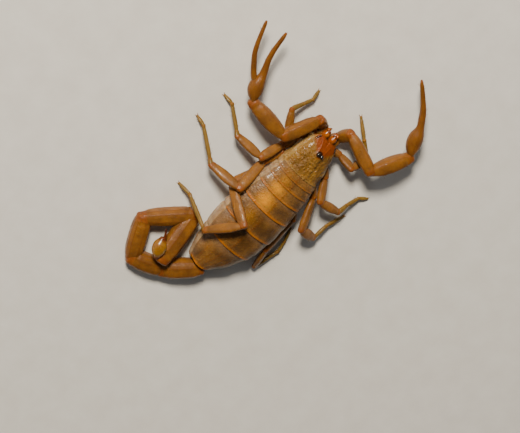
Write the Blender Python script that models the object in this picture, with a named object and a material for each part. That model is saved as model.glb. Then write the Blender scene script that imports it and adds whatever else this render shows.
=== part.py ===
# A desert bark scorpion as a still, life-size museum model: a heavy female flat on the ground with
# her tail curled on its side, her left pincer open and her right pincer closed.
# Her head looks along -Y, her left side is +X, and the ground is z = 0.
# Lengths are in millimetres up to finish_piece, which turns each piece into metres.

import math

import bmesh
import bpy
from mathutils import Matrix, Vector

MM = 0.001
CUT = 0.1                       # gap between neighbouring pieces
WELD = 0.0005                   # points closer than this are one point

# The body's cross-sections: place along Y, middle's X, half width, top, height of the widest line
CARAPACE_FRONT = -13.7
CARAPACE_REAR = -8.2
BODY_REAR = 10.2
BODY_SECTIONS = (
    (CARAPACE_FRONT, 0.3, 1.75, 3.6, 3.0),
    (-12.5, 0.3, 2.15, 4.2, 3.0),
    (-11.6, 0.3, 2.45, 4.55, 3.1),
    (-10.0, 0.2, 2.8, 4.65, 3.3),
    (CARAPACE_REAR, 0.1, 3.05, 4.75, 3.5),
    (-6.2, 0.0, 3.45, 5.0, 3.6),
    (-4.0, -0.05, 3.85, 5.3, 3.4),
    (-1.0, -0.2, 4.2, 5.5, 2.9),
    (1.5, -0.35, 4.4, 5.45, 2.7),
    (5.0, -0.45, 3.85, 4.9, 2.5),
    (7.6, -0.3, 2.95, 4.1, 2.2),
    (BODY_REAR, 0.05, 1.45, 3.1, 1.85),
)
# The belly's lowest line: hollowed over the hips and the combs, on the ground behind them
BELLY_SECTIONS = (
    (CARAPACE_REAR, 2.75),
    (-3.7, 2.75),
    (-3.3, 1.15),
    (0.3, 1.05),
    (1.6, -0.04),
    (7.4, -0.04),
    (BODY_REAR, 0.65),
)
# The plate of hips: place along Y, half width, bottom and top, with the pincers' hips as a low front step
HIP_FRONT = -13.75
HIP_SECTIONS = (
    (HIP_FRONT, 1.7, 0.6, 1.5),
    (-13.3, 1.7, 0.55, 1.5),
    (-12.95, 1.2, 0.8, 2.62),
    (-12.2, 1.2, 0.8, 2.62),
    (-10.0, 2.0, 0.7, 2.62),
    (-7.0, 2.35, 0.65, 2.62),
    (-3.8, 2.4, 0.7, 2.62),
)
HIP_SQUARENESS = 4
SHIELD_RIM = 2.75               # lower edge of the head shield
TERGITE_LENGTHS = (1.0, 1.3, 1.6, 2.5, 3.35, 3.5, 5.15)
TERGITE_THICKNESS = 0.34
TERGITE_EDGE = 34               # degrees up from the widest line to a back plate's edge

EYE_RADIUS = 0.26
EYE_PLACE = (0.28, -11.7)

# Root, knuckle and tip of a jaw beside the middle line, with half thickness and half depth at each
JAW_MIDDLE = 0.15
JAW_PATH = ((0.6, -13.75, 2.1), (0.62, -14.1, 2.22), (0.47, -14.6, 2.0))
JAW_SIZES = ((0.48, 0.5), (0.54, 0.55), (0.3, 0.32))

COMB_TEETH = 16
COMB_LENGTH = 4.0
COMB_SPINE = 0.75               # depth of a comb's solid part
COMB_DEPTH = 1.25               # depth to its teeth's ends
COMB_THICKNESS = 0.5
COMB_ROOT = (0.7, -3.1, 0.4)
COMB_SWEEP = 38

# Limbs are chains of (length, heading, rise): the heading is turned from straight ahead towards
# her left, and the rise is up from level, both in degrees.
LEG_HIPS = ((2.0, -12.6, 1.6), (2.8, -10.5, 1.7), (3.2, -7.8, 1.8), (3.55, -4.2, 1.85))
LEG_POSES = {
    "left": (
        ((1.2, 118, 34), (2.5, 137, 11), (3.7, 35, -8), (2.1, -40, -31), (1.3, -28, -13), (1.1, 1, -21)),
        ((1.5, 138, 12), (3.9, 153, 25), (4.1, 93, -19), (2.4, 49, -22), (1.9, 57, -21), (1.0, 95, -22)),
        ((2.0, 151, 16), (5.2, 170, 29), (4.7, 97, -27), (3.1, 53, -22), (2.1, 56, -21), (1.1, 82, -20)),
        ((3.7, 147, 17), (6.1, -123, 42), (5.2, 150, -22), (3.4, 66, -46), (2.0, 68, -45), (1.6, 95, -27)),
    ),
    "right": (
        ((1.0, -66, 0), (2.6, -91, 38), (3.0, -29, -38), (2.5, 55, 3), (1.7, 51, -24), (1.3, 51, -20)),
        ((1.2, -132, 10), (3.5, -152, 30), (4.1, -85, -24), (2.2, -16, -24), (1.4, -35, -24), (1.1, -62, -14)),
        ((1.8, -126, 8), (4.7, -159, 20), (3.8, -92, -35), (2.5, -5, -10), (1.4, -35, -22), (1.0, -22, -12)),
        ((2.2, -135, 2), (5.4, -177, 5), (3.7, -154, -27), (3.5, -16, -5), (1.8, 12, -4), (1.7, 22, -4)),
    ),
}
# Half thickness and half depth at the trochanter, the femur, the knee and the patella
LEG_SIZES = (
    ((0.5, 0.55), (0.42, 0.6), (0.42, 0.55), (0.38, 0.52)),
    ((0.5, 0.6), (0.45, 0.68), (0.45, 0.6), (0.4, 0.6)),
    ((0.52, 0.62), (0.48, 0.75), (0.48, 0.65), (0.42, 0.66)),
    ((0.52, 0.62), (0.46, 0.72), (0.46, 0.62), (0.42, 0.62)),
)
SHANK_SIZES = (0.36, 0.32, 0.28, 0.27, 0.26)
FOOT_HEIGHT = 0.2               # height of a foot's middle, under its half thickness

PALP_POSES = {
    "left": ((1.6, -14.35, 1.15), ((2.75, 77.2, 48.9), (5.1, 153, 11), (6.0, 86, -11), (3.3, 36, 1))),
    "right": ((-1.3, -14.55, 1.2), ((2.21, -8.1, 45.3), (5.5, -108, 15), (5.5, -31, -10), (3.9, 33, 0))),
}
PALP_SIZES = (0.72, 0.82, 0.92, 0.95)
# A finger's root is so far sideways and up from the hand's end, and two steps lead to its tip
FINGER_POSES = {
    "left": {
        "fixed": (-0.55, 0, ((3.4, 29, 6), (3.4, 12, 4))),
        "movable": (0.5, 0, ((3.7, 45, 3), (4.0, 25, 0))),
    },
    "right": {
        "fixed": (-0.3, 0.35, ((3.0, 39, 0), (3.8, 52, 0))),
        "movable": (-0.42, -0.46, ((3.1, 39, 1), (3.8, 52, 1))),
    },
}
FINGER_SIZES = ((0.46, 0.5), (0.3, 0.42), (0.27, 0.27))
MOVABLE_ROOT = 0.16             # share of its first step at which a movable finger begins

TAIL_BASE = (0.1, BODY_REAR, 1.66)
TAIL_POSE = ((4.4, 149, -7), (4.4, 108, 0), (5.8, 30, 0), (6.05, -47, 0), (5.6, -173, 15.5))
TAIL_SIZES = ((1.16, 1.36), (1.18, 1.3), (1.18, 1.24), (1.18, 1.16), (1.08, 1.34))
TAIL_SWELL = (0.86, 0.95, 1.0, 0.98, 0.84)
VESICLE_BASE = (5.58, 12.0, 3.64)
VESICLE_POSE = ((1.0, 36, 2), (1.0, 20, -3))
VESICLE_SIZES = ((0.5, 0.52), (0.98, 1.05), (0.6, 0.62))
STING_POSE = ((0.8, 16, 4), (0.55, 42, 6))
STING_SIZES = ((0.42, 0.42), (0.3, 0.3), (0.25, 0.25))
STING_CUT = (0.3, 18)

TURN_LEFT = Vector((1, 0, 0))
UP = Vector((0, 0, 1))
DOME_RINGS = ((0.92, 0.4), (0.62, 0.78))    # distance out and size of the rings that round an end


def between(table, place, column):
    """Reads one column of a table of sections at a place, along a smooth curve."""
    for left, right in zip(table, table[1:]):
        if place <= right[0]:
            share = max(0.0, (place - left[0]) / (right[0] - left[0]))
            share = share * share * (3 - 2 * share) * 0.35 + share * 0.65
            return left[column] + (right[column] - left[column]) * share
    return table[-1][column]


def heading_vector(heading, rise):
    turn = math.radians(heading)
    lift = math.radians(rise)
    return Vector((math.sin(turn) * math.cos(lift), -math.cos(turn) * math.cos(lift), math.sin(lift)))


def chain(start, steps):
    """The joints of a limb, from its root to its tip."""
    joints = [Vector(start)]
    for length, heading, rise in steps:
        joints.append(joints[-1] + length * heading_vector(heading, rise))
    return joints


def signed_power(value, power):
    return math.copysign(abs(value) ** power, value)


def oval(angle, half_width, half_height, squareness=2.0):
    """A point on an oval that turns into a rounded box as squareness grows."""
    power = 2 / squareness
    across = half_width * signed_power(math.cos(angle), power)
    high = half_height * signed_power(math.sin(angle), power)
    return across, high


def loft(rings):
    """A closed skin through rings of points: a grid rolled into a tube, with both ends filled."""
    sides = len(rings[0])
    rows = len(rings) - 1
    mesh = bmesh.new()
    bmesh.ops.create_grid(mesh, x_segments=sides, y_segments=rows, size=1)
    for vert in mesh.verts:
        column = round((vert.co.x + 1) / 2 * sides) % sides
        row = round((vert.co.y + 1) / 2 * rows)
        vert.co = rings[row][column]
    bmesh.ops.remove_doubles(mesh, verts=mesh.verts, dist=WELD)
    fill_and_face_out(mesh)
    return mesh


def fill_and_face_out(mesh):
    open_edges = [edge for edge in mesh.edges if edge.is_boundary]
    bmesh.ops.holes_fill(mesh, edges=open_edges, sides=0)
    bmesh.ops.recalc_face_normals(mesh, faces=mesh.faces)


def trim(mesh, point, outward, gap=CUT / 2):
    """Cuts off what lies beyond a plane, leaving half of the gap to the neighbour."""
    outward = outward.normalized()
    every_part = list(mesh.verts) + list(mesh.edges) + list(mesh.faces)
    bmesh.ops.bisect_plane(
        mesh, geom=every_part, dist=WELD, plane_co=point - outward * gap, plane_no=outward, clear_outer=True
    )
    fill_and_face_out(mesh)


def limb(path, sizes, hinge, sides=8, squareness=2.2, round_start=True, round_end=True):
    """A tube along a path: each size is the half thickness along the hinge and the half depth."""
    path = [Vector(point) for point in path]
    stations = []
    for place, size in enumerate(sizes):
        before = path[max(place - 1, 0)]
        after = path[min(place + 1, len(path) - 1)]
        stations.append((path[place], (after - before).normalized(), size[0], size[1]))
    if round_start:
        point, along, thin, deep = stations[0]
        stations = [
            (point - along * out * (thin + deep) / 2, along, thin * share, deep * share)
            for out, share in DOME_RINGS
        ] + stations
    if round_end:
        point, along, thin, deep = stations[-1]
        stations += [
            (point + along * out * (thin + deep) / 2, along, thin * share, deep * share)
            for out, share in reversed(DOME_RINGS)
        ]
    rings = []
    for point, along, thin, deep in stations:
        across = (hinge - along * hinge.dot(along)).normalized()
        upward = along.cross(across)
        ring = []
        for step in range(sides):
            sideways, high = oval(2 * math.pi * (step + 0.5) / sides, thin, deep, squareness)
            ring.append(point + across * sideways + upward * high)
        rings.append(ring)
    return loft(rings)


def evenly(start, end, count):
    """Points spread evenly from start to end."""
    return [start.lerp(end, place / (count - 1)) for place in range(count)]


def mitre(before, joint, after):
    """The direction that a limb runs in as it passes a joint."""
    return ((joint - before).normalized() + (after - joint).normalized()).normalized()


def material(name, colour, roughness):
    made = bpy.data.materials.get(name)
    if made is None:
        made = bpy.data.materials.new(name)
        made.use_nodes = True
        shader = made.node_tree.nodes["Principled BSDF"]
        shader.inputs["Base Color"].default_value = (*colour, 1)
        shader.inputs["Roughness"].default_value = roughness
        shader.inputs["Metallic"].default_value = 0
    return made


def amber_shell():
    return material("amber_shell", (0.30, 0.12, 0.02), 0.3)


def back_plate():
    return material("back_plate", (0.27, 0.13, 0.03), 0.35)


def soft_flank():
    return material("soft_flank", (0.33, 0.18, 0.09), 0.45)


def straw_leg():
    return material("straw_leg", (0.42, 0.28, 0.08), 0.4)


def red_jaw():
    return material("red_jaw", (0.33, 0.08, 0.01), 0.3)


def dark_sting():
    return material("dark_sting", (0.10, 0.02, 0.01), 0.3)


def black_eye():
    return material("black_eye", (0.004, 0.004, 0.006), 0.08)


def finish_piece(name, mesh, surface):
    """Turns a mesh in millimetres into a named object in metres."""
    mesh.transform(Matrix.Scale(MM, 4))
    data = bpy.data.meshes.new(name)
    mesh.to_mesh(data)
    mesh.free()
    data.materials.append(surface)
    data.shade_smooth()
    data.set_sharp_from_angle(angle=math.radians(50))
    piece = bpy.data.objects.new(name, data)
    bpy.context.scene.collection.objects.link(piece)
    return piece


def body_point(place, angle, inset=0.0):
    """A point on the body's upper half at an angle up from its widest line."""
    half_width = between(BODY_SECTIONS, place, 2) - inset
    middle = between(BODY_SECTIONS, place, 4)
    half_height = between(BODY_SECTIONS, place, 3) - middle - inset
    across, high = oval(math.radians(angle), half_width, half_height, 2.2)
    return Vector((between(BODY_SECTIONS, place, 1) + across, place, middle + high))


def belly_point(place, angle):
    half_width = between(BODY_SECTIONS, place, 2)
    middle = between(BODY_SECTIONS, place, 4)
    across, low = oval(math.radians(angle), half_width, middle - between(BELLY_SECTIONS, place, 1), 2.5)
    return Vector((between(BODY_SECTIONS, place, 1) + across, place, middle + low))


def spread(first, last, count):
    return [first + (last - first) * step / (count - 1) for step in range(count)]


def make_shield():
    """The head shield, a dome over the front of the body."""
    rings = []
    for place in spread(CARAPACE_FRONT, CARAPACE_REAR - CUT / 2, 9):
        rim = [Vector((body_point(place, angle).x, place, SHIELD_RIM)) for angle in (180, 0)]
        rings.append([body_point(place, angle) for angle in spread(0, 180, 13)] + rim)
    finish_piece("carapace", loft(rings), back_plate())


def make_back_plates():
    front = CARAPACE_REAR
    for number, length in enumerate(TERGITE_LENGTHS, 1):
        rear = front + length
        rings = []
        for place in spread(front + CUT / 2, rear - CUT / 2, 3 if length < 3 else 5):
            outer = [body_point(place, angle) for angle in spread(TERGITE_EDGE, 180 - TERGITE_EDGE, 9)]
            inner = [
                body_point(place, angle, TERGITE_THICKNESS)
                for angle in spread(180 - TERGITE_EDGE, TERGITE_EDGE, 7)
            ]
            rings.append(outer + inner)
        finish_piece(f"tergite_{number}", loft(rings), back_plate())
        front = rear


def make_trunk():
    """The soft body: belly and flanks in full, and a bed for the back plates."""
    places = (-8.15, -7.0, -5.4, -3.72, -3.3, -1.5, 0.3, 1.6, 3.2, 5.0, 6.4, 7.6, 9.0, BODY_REAR - CUT / 2)
    rings = []
    for place in places:
        bed = spread(TERGITE_EDGE, 180 - TERGITE_EDGE, 8)
        ring = [body_point(place, angle, TERGITE_THICKNESS + CUT) for angle in bed]
        ring += [body_point(place, angle) for angle in (180 - TERGITE_EDGE + 4, 166)]
        ring += [belly_point(place, angle) for angle in spread(180, 360, 11)]
        ring += [body_point(place, angle) for angle in (14, TERGITE_EDGE - 4)]
        rings.append(ring)
    mesh = loft(rings)
    trim(mesh, Vector((0, 0, 0)), -UP, 0)
    finish_piece("trunk", mesh, soft_flank())


def make_hips():
    """The plate of leg hips under the head shield."""
    rings = []
    for place, half_width, bottom, top in HIP_SECTIONS:
        half_height = (top - bottom) / 2
        ring = []
        for angle in spread(15, 345, 12):
            across, high = oval(math.radians(angle), half_width, half_height, HIP_SQUARENESS)
            ring.append(Vector((across, place, bottom + half_height + high)))
        rings.append(ring)
    finish_piece("coxosternum", loft(rings), amber_shell())


def make_eyes():
    across, place = EYE_PLACE
    crown = body_point(place, 90)
    for side, sign in (("left", 1), ("right", -1)):
        seat = crown + Vector((sign * across, 0, 0.02))
        sizes = [(EYE_RADIUS * math.cos(lift), EYE_RADIUS * math.cos(lift)) for lift in spread(0, 1.3, 4)]
        path = [seat + UP * EYE_RADIUS * math.sin(lift) for lift in spread(0, 1.3, 4)]
        mesh = limb(path, sizes, TURN_LEFT, 10, 2.0, False, False)
        finish_piece(f"median_eye_{side}", mesh, black_eye())


def make_jaws():
    for side, sign in (("left", 1), ("right", -1)):
        path = [(JAW_MIDDLE + sign * across, place, height) for across, place, height in JAW_PATH]
        finish_piece(f"chelicera_{side}", limb(path, JAW_SIZES, TURN_LEFT, 10), red_jaw())


def comb_outline():
    """The flat shape of a comb: a straight spine in front and square teeth behind."""
    outline = [(0.0, 0.0), (COMB_LENGTH, 0.35)]
    tooth = COMB_LENGTH / COMB_TEETH
    for number in range(COMB_TEETH):
        start = COMB_LENGTH - number * tooth
        outline += [(start, COMB_SPINE), (start - tooth * 0.1, COMB_DEPTH)]
        outline += [(start - tooth * 0.6, COMB_DEPTH), (start - tooth * 0.7, COMB_SPINE)]
    return outline


def make_combs():
    """The two toothed combs under the belly, each one plate."""
    for side, sign in (("left", 1), ("right", -1)):
        mesh = bmesh.new()
        face = mesh.faces.new([mesh.verts.new((along, back, 0)) for along, back in comb_outline()])
        made = bmesh.ops.extrude_face_region(mesh, geom=[face], use_keep_orig=True)
        lifted = [item for item in made["geom"] if isinstance(item, bmesh.types.BMVert)]
        bmesh.ops.translate(mesh, verts=lifted, vec=(0, 0, COMB_THICKNESS))
        bmesh.ops.recalc_face_normals(mesh, faces=mesh.faces)
        turn = Matrix.Rotation(math.radians(COMB_SWEEP), 4, "Z")
        mesh.transform(Matrix.Scale(sign, 4, TURN_LEFT) @ Matrix.Translation(COMB_ROOT) @ turn)
        if sign < 0:
            bmesh.ops.reverse_faces(mesh, faces=mesh.faces)
        finish_piece(f"pectine_{side}", mesh, straw_leg())


def make_leg(side, number):
    sign = 1 if side == "left" else -1
    across, place, height = LEG_HIPS[number]
    joints = chain((sign * across, place, height), LEG_POSES[side][number])
    joints[-1].z = FOOT_HEIGHT
    hip, trochanter, knee, ankle, *foot = joints
    hinge = (knee - trochanter).cross(ankle - knee).normalized()
    first, second, third, fourth = LEG_SIZES[number]
    name = f"{side}_leg_{number + 1}"

    thigh = limb([hip, *evenly(trochanter, knee, 3)], [first, first, second, third], hinge)
    trim(thigh, knee, mitre(trochanter, knee, ankle))
    finish_piece(f"{name}_femur", thigh, amber_shell())

    narrow = (fourth[0] * 0.9, fourth[1] * 0.8)
    patella = limb(evenly(knee, ankle, 3), [third, fourth, narrow], hinge)
    trim(patella, knee, -mitre(trochanter, knee, ankle))
    trim(patella, ankle, mitre(knee, ankle, foot[0]))
    finish_piece(f"{name}_patella", patella, amber_shell())

    shank_path = [ankle, ankle.lerp(foot[0], 0.5), *foot]
    shank = limb(shank_path, [(size, size) for size in SHANK_SIZES], hinge, sides=6, squareness=2.0)
    trim(shank, ankle, -mitre(knee, ankle, foot[0]))
    trim(shank, Vector((0, 0, 0)), -UP, 0)
    finish_piece(f"{name}_tibia", shank, straw_leg())


def make_palp(side):
    root, steps = PALP_POSES[side]
    shoulder, elbow, wrist, knuckle, palm = chain(root, steps)
    parts = (
        ("trochanter", shoulder, elbow, None, wrist),
        ("femur", elbow, wrist, shoulder, knuckle),
        ("patella", wrist, knuckle, elbow, palm),
    )
    for (part, start, end, before, after), size in zip(parts, PALP_SIZES):
        sizes = [(size * 0.88, size * 0.9), (size, size * 1.04), (size * 0.92, size * 0.95)]
        mesh = limb(evenly(start, end, 3), sizes, UP, 10, 2.8)
        if before is None:
            trim(mesh, Vector((0, HIP_FRONT, 0)), Vector((0, 1, 0)), CUT)
        else:
            trim(mesh, start, -mitre(before, start, end))
        trim(mesh, end, mitre(start, end, after))
        finish_piece(f"{side}_palp_{part}", mesh, amber_shell())
    make_hand(side, wrist, knuckle, palm)


def make_hand(side, wrist, knuckle, palm):
    """The palm in one piece with its fixed finger, and the movable finger beside it."""
    along = (palm - knuckle).normalized()
    sideways = UP.cross(along).normalized()
    size = PALP_SIZES[3]
    palm_sizes = [(size * 0.75, size * 0.7), (size * 1.05, size * 1.1), (size, size)]
    palm_path = [knuckle, knuckle.lerp(palm, 0.45), knuckle.lerp(palm, 0.8)]
    for finger, (aside, above, steps) in FINGER_POSES[side].items():
        root, middle, tip = chain(palm + sideways * aside + UP * above, steps)
        if finger == "fixed":
            mesh = limb([*palm_path, root, middle, tip], [*palm_sizes, *FINGER_SIZES], UP, 10)
            trim(mesh, knuckle, -mitre(wrist, knuckle, palm))
            finish_piece(f"{side}_palp_hand", mesh, amber_shell())
        else:
            mesh = limb([root.lerp(middle, MOVABLE_ROOT), middle, tip], FINGER_SIZES, UP)
            finish_piece(f"{side}_palp_movable_finger", mesh, amber_shell())


def make_tail():
    joints = chain(TAIL_BASE, TAIL_POSE)
    before = [None, *joints[:-2]]
    after = [*joints[2:], None]
    for number, (thick, deep) in enumerate(TAIL_SIZES):
        start, end = joints[number], joints[number + 1]
        sizes = [(thick * share, deep * share) for share in TAIL_SWELL]
        mesh = limb(evenly(start, end, len(sizes)), sizes, UP, 10, 3.0)
        if before[number] is None:
            trim(mesh, start, Vector((0, -1, 0)))
        else:
            trim(mesh, start, -mitre(before[number], start, end))
        if after[number] is not None:
            trim(mesh, end, mitre(start, end, after[number]))
        trim(mesh, Vector((0, 0, 0)), -UP, 0)
        finish_piece(f"metasoma_{number + 1}", mesh, amber_shell())


def make_sting():
    bulb_path = chain(VESICLE_BASE, VESICLE_POSE)
    needle_path = chain(bulb_path[-1], STING_POSE)
    distance, heading = STING_CUT
    onward = heading_vector(heading, 0)
    neck = bulb_path[-1] + onward * distance
    bulb = limb(bulb_path, VESICLE_SIZES, UP, 12, 2.0)
    trim(bulb, neck, onward)
    finish_piece("vesicle", bulb, amber_shell())
    needle = limb(needle_path, STING_SIZES, UP, 8, 2.0)
    trim(needle, neck, -onward)
    finish_piece("aculeus", needle, dark_sting())


def centre_over_origin():
    """Moves every piece so that the whole model's box stands centred on the origin."""
    corners = [vert.co for piece in bpy.data.objects for vert in piece.data.vertices]
    low = Vector([min(corner[axis] for corner in corners) for axis in range(3)])
    high = Vector([max(corner[axis] for corner in corners) for axis in range(3)])
    shift = Vector((-(low.x + high.x) / 2, -(low.y + high.y) / 2, -low.z))
    for piece in bpy.data.objects:
        piece.data.transform(Matrix.Translation(shift))


def main():
    for old in list(bpy.data.objects):
        bpy.data.objects.remove(old)
    make_shield()
    make_back_plates()
    make_trunk()
    make_hips()
    make_eyes()
    make_jaws()
    make_combs()
    for side in ("left", "right"):
        make_palp(side)
        for number in range(4):
            make_leg(side, number)
    make_tail()
    make_sting()
    centre_over_origin()


main()
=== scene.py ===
import itertools
import math

import bmesh
import bpy
import numpy as np
from mathutils import Matrix, Vector


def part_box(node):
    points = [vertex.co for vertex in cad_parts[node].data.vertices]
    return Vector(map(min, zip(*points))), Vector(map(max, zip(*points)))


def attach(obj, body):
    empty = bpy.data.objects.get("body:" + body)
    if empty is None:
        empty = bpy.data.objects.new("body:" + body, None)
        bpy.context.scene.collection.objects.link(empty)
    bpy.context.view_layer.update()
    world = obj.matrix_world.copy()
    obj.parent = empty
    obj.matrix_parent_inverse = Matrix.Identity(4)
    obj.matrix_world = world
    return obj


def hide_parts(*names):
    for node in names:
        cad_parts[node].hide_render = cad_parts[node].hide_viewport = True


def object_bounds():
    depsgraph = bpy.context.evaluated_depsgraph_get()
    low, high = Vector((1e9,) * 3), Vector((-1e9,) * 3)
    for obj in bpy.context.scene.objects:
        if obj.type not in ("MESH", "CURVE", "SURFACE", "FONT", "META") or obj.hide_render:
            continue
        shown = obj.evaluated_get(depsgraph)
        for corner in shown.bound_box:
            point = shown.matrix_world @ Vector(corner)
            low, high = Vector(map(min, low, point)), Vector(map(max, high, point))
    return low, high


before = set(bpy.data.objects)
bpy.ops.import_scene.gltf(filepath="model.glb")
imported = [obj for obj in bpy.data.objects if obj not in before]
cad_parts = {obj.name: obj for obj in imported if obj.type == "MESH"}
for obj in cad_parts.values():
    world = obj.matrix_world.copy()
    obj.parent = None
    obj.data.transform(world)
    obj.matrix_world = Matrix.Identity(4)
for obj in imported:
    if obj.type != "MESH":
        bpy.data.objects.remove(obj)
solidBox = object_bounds()
mm = 0.001                          # shapes are worked out in millimetres, and meshes are in metres
boxLow, boxHigh = np.array(solidBox) / mm
up = np.array([0.0, 0.0, 1.0])
fullTurn = 6.28                     # radians, near enough for waves and rows of beads
dice = np.random.default_rng(11)
sides = ("left", "right")
bristleBeds = []                    # finished shells that carry bristles


def unit(rows):
    return rows / np.maximum(np.linalg.norm(rows, axis=-1, keepdims=True), 1e-9)


def bell(value, middle, width):
    return np.exp(-((value - middle) / width) ** 2)


def ease(value, low, high):
    share = np.clip((value - low) / (high - low), 0, 1)
    return share * share * (3 - 2 * share)


def turnGap(angle, other):          # degrees between two directions round a section
    return (angle - other + 180) % 360 - 180


def curveThrough(value, knots, column):     # a smooth curve through rows of place and values
    place = np.array([knot[0] for knot in knots], float)
    level = np.array([knot[column] for knot in knots], float)
    slope = np.gradient(level, place)
    value = np.clip(value, place[0], place[-1])
    step = np.clip(np.searchsorted(place, value) - 1, 0, len(place) - 2)
    wide = place[step + 1] - place[step]
    share = (value - place[step]) / wide
    rest = 1 - share
    return (level[step] * rest ** 2 * (1 + 2 * share) + slope[step] * wide * share * rest ** 2
            + level[step + 1] * share ** 2 * (3 - 2 * share) - slope[step + 1] * wide * share ** 2 * rest)


def oval(angle, squareness):        # a point of a round or squarish section, one unit in size
    turn = np.radians(angle)
    power = 2 / squareness
    across = np.sign(np.cos(turn)) * np.abs(np.cos(turn)) ** power
    high = np.sign(np.sin(turn)) * np.abs(np.sin(turn)) ** power
    return across, high


def ripple(points, size, seed, waves=7):     # soft uneven waves of about one size, from -1 to 1
    turns = np.random.default_rng(seed).normal(size=(waves, 3))
    starts = np.random.default_rng(seed + 1).uniform(0, fullTurn, waves)
    swell = np.sin(points @ (unit(turns) * fullTurn / size).T + starts)
    return swell.mean(axis=1) * 1.6


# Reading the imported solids: slices of a solid, its middle line, and the joints between solids

traceLook = {"step": 0.2, "reach": 1.7, "firstReach": 2.5, "mostSteps": 80, "steer": 0.4, "sizeReach": 1.9,
             "straightRun": (0.3, 0.7), "bentRun": (0.8, 2.6)}


def boxOf(name):
    return np.array(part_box(name)) / mm


def nodeFaces(name):
    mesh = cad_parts[name].data
    points = np.array([vert.co for vert in mesh.vertices]) / mm
    mesh.calc_loop_triangles()
    return points[np.array([tri.vertices for tri in mesh.loop_triangles])]


def sliceNear(faces, point, normal, reach):     # the short edges where a plane cuts a solid
    height = (faces - point) @ normal
    crossed = (height.min(axis=1) < 0) & (height.max(axis=1) >= 0)
    faces = faces[crossed]
    height = height[crossed]
    ends = []
    for first, second in ((0, 1), (1, 2), (2, 0)):
        drop = height[:, first] - height[:, second]
        share = height[:, first] / np.where(drop == 0, 1, drop)
        cut = (height[:, first] < 0) != (height[:, second] < 0)
        place = faces[:, first] + (faces[:, second] - faces[:, first]) * share[:, None]
        ends.append(np.where(cut[:, None], place, np.nan))
    ends = np.stack(ends, axis=1)
    pairs = ends[~np.isnan(ends[:, :, 0])].reshape(-1, 2, 3)
    return pairs[np.linalg.norm(pairs.mean(axis=1) - point, axis=1) < reach]


def sliceMiddle(faces, point, normal, reach):
    pairs = sliceNear(faces, point, normal, reach)
    if len(pairs) < 3:
        return None
    length = np.linalg.norm(pairs[:, 0] - pairs[:, 1], axis=1)
    return (pairs.mean(axis=1) * length[:, None]).sum(axis=0) / length.sum()


def traceLine(name, near):                      # a solid's middle line, from the end nearest a neighbour
    faces = nodeFaces(name)
    points = faces.reshape(-1, 3)
    neighbour = nodeFaces(near).reshape(-1, 3).mean(axis=0)
    seed = points.mean(axis=0)
    axis = np.linalg.svd(points - seed, full_matrices=False)[2][0]
    for attempt in range(3):
        found = sliceMiddle(faces, seed, axis, traceLook["firstReach"])
        seed = found if found is not None else seed
    halves = []
    for way in (1, -1):
        place = seed
        heading = axis * way
        line = []
        while len(line) < traceLook["mostSteps"]:
            found = sliceMiddle(faces, place + heading * traceLook["step"], heading, traceLook["reach"])
            if found is None:
                break
            line.append(found)
            if len(line) > 3:
                steer = traceLook["steer"]
                heading = unit((1 - steer) * heading + steer * unit(line[-1] - line[-3]))
            place = line[-1]
        halves.append(line)
    line = np.array(halves[1][::-1] + [seed] + halves[0])
    if np.linalg.norm(line[0] - neighbour) > np.linalg.norm(line[-1] - neighbour):
        line = line[::-1]
    return line


def goneAlong(path):                            # the distance from a line's start to each of its points
    return np.concatenate([[0], np.cumsum(np.linalg.norm(np.diff(path, axis=0), axis=1))])


def endRay(line, last, straight):               # the run of a middle line that leads to one of its ends
    part = line[::-1] if last else line
    gone = goneAlong(part)
    if straight:
        low, high = (gone[-1] * share for share in traceLook["straightRun"])
    else:
        low, high = traceLook["bentRun"]
    run = part[(gone >= low) & (gone <= high)]
    middle = run.mean(axis=0)
    way = np.linalg.svd(run - middle, full_matrices=False)[2][0]
    return middle, way if (run[0] - run[-1]) @ way > 0 else -way


def meet(rayA, rayB):                           # the joint, where two solids' runs come closest
    gap = rayA[0] - rayB[0]
    turn = rayA[1] @ rayB[1]
    full = 1 - turn * turn
    if full < 0.001:                            # the runs are side by side
        return (rayA[0] + rayB[0]) / 2
    goA = (turn * (rayB[1] @ gap) - rayA[1] @ gap) / full
    goB = (rayB[1] @ gap - turn * (rayA[1] @ gap)) / full
    return (rayA[0] + rayA[1] * goA + rayB[0] + rayB[1] * goB) / 2


def cornersOf(line, count):                     # the joints inside a bent solid
    best = (1e9, ())
    nearEnd = 3                                 # points too near an end to be a joint
    for corners in itertools.combinations(range(nearEnd, len(line) - nearEnd), count):
        stops = [0, *corners, len(line) - 1]
        miss = 0
        for first, last in zip(stops, stops[1:]):
            run = line[first:last + 1] - line[first]
            heading = unit(line[last] - line[first])
            miss += np.sum((run - np.outer(run @ heading, heading)) ** 2)
        if miss < best[0]:
            best = (miss, corners)
    return [line[corner] for corner in best[1]]


def halfSizes(faces, point, along, hinge):      # a solid's half size along its hinge and across it
    pairs = sliceNear(faces, point, along, traceLook["sizeReach"])
    across = unit(np.cross(along, hinge))
    flat = unit(np.cross(across, along))
    spread = pairs.reshape(-1, 3)
    return np.ptp(spread @ flat) / 2, np.ptp(spread @ across) / 2


# Making pieces: grids rolled into closed shells, with tints kept as attributes of their points

tintNames = ("keel", "joint", "tone", "haze", "mottleAndShade")


def newBuild():
    bm = bmesh.new()
    for name in tintNames:
        bm.verts.layers.float.new(name)
    return bm


def rollGrid(bm, along, around, shape):         # bends a flat grid by shape(share along, degrees round)
    verts = bmesh.ops.create_grid(bm, x_segments=along, y_segments=around, size=0.5)["verts"]
    flat = np.array([vert.co for vert in verts])
    points, tints = shape(flat[:, 0] + 0.5, (flat[:, 1] + 0.5) * 360)
    points = np.clip(points, boxLow, boxHigh)   # nothing sinks into the ground or leaves the solids' box
    layers = [bm.verts.layers.float[name] for name in tintNames]
    levels = [np.broadcast_to(tints.get(name, 0), len(flat)) for name in tintNames]
    for vert, place, *values in zip(verts, points * mm, *levels):
        vert.co = place
        for layer, value in zip(layers, values):
            vert[layer] = value


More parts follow.
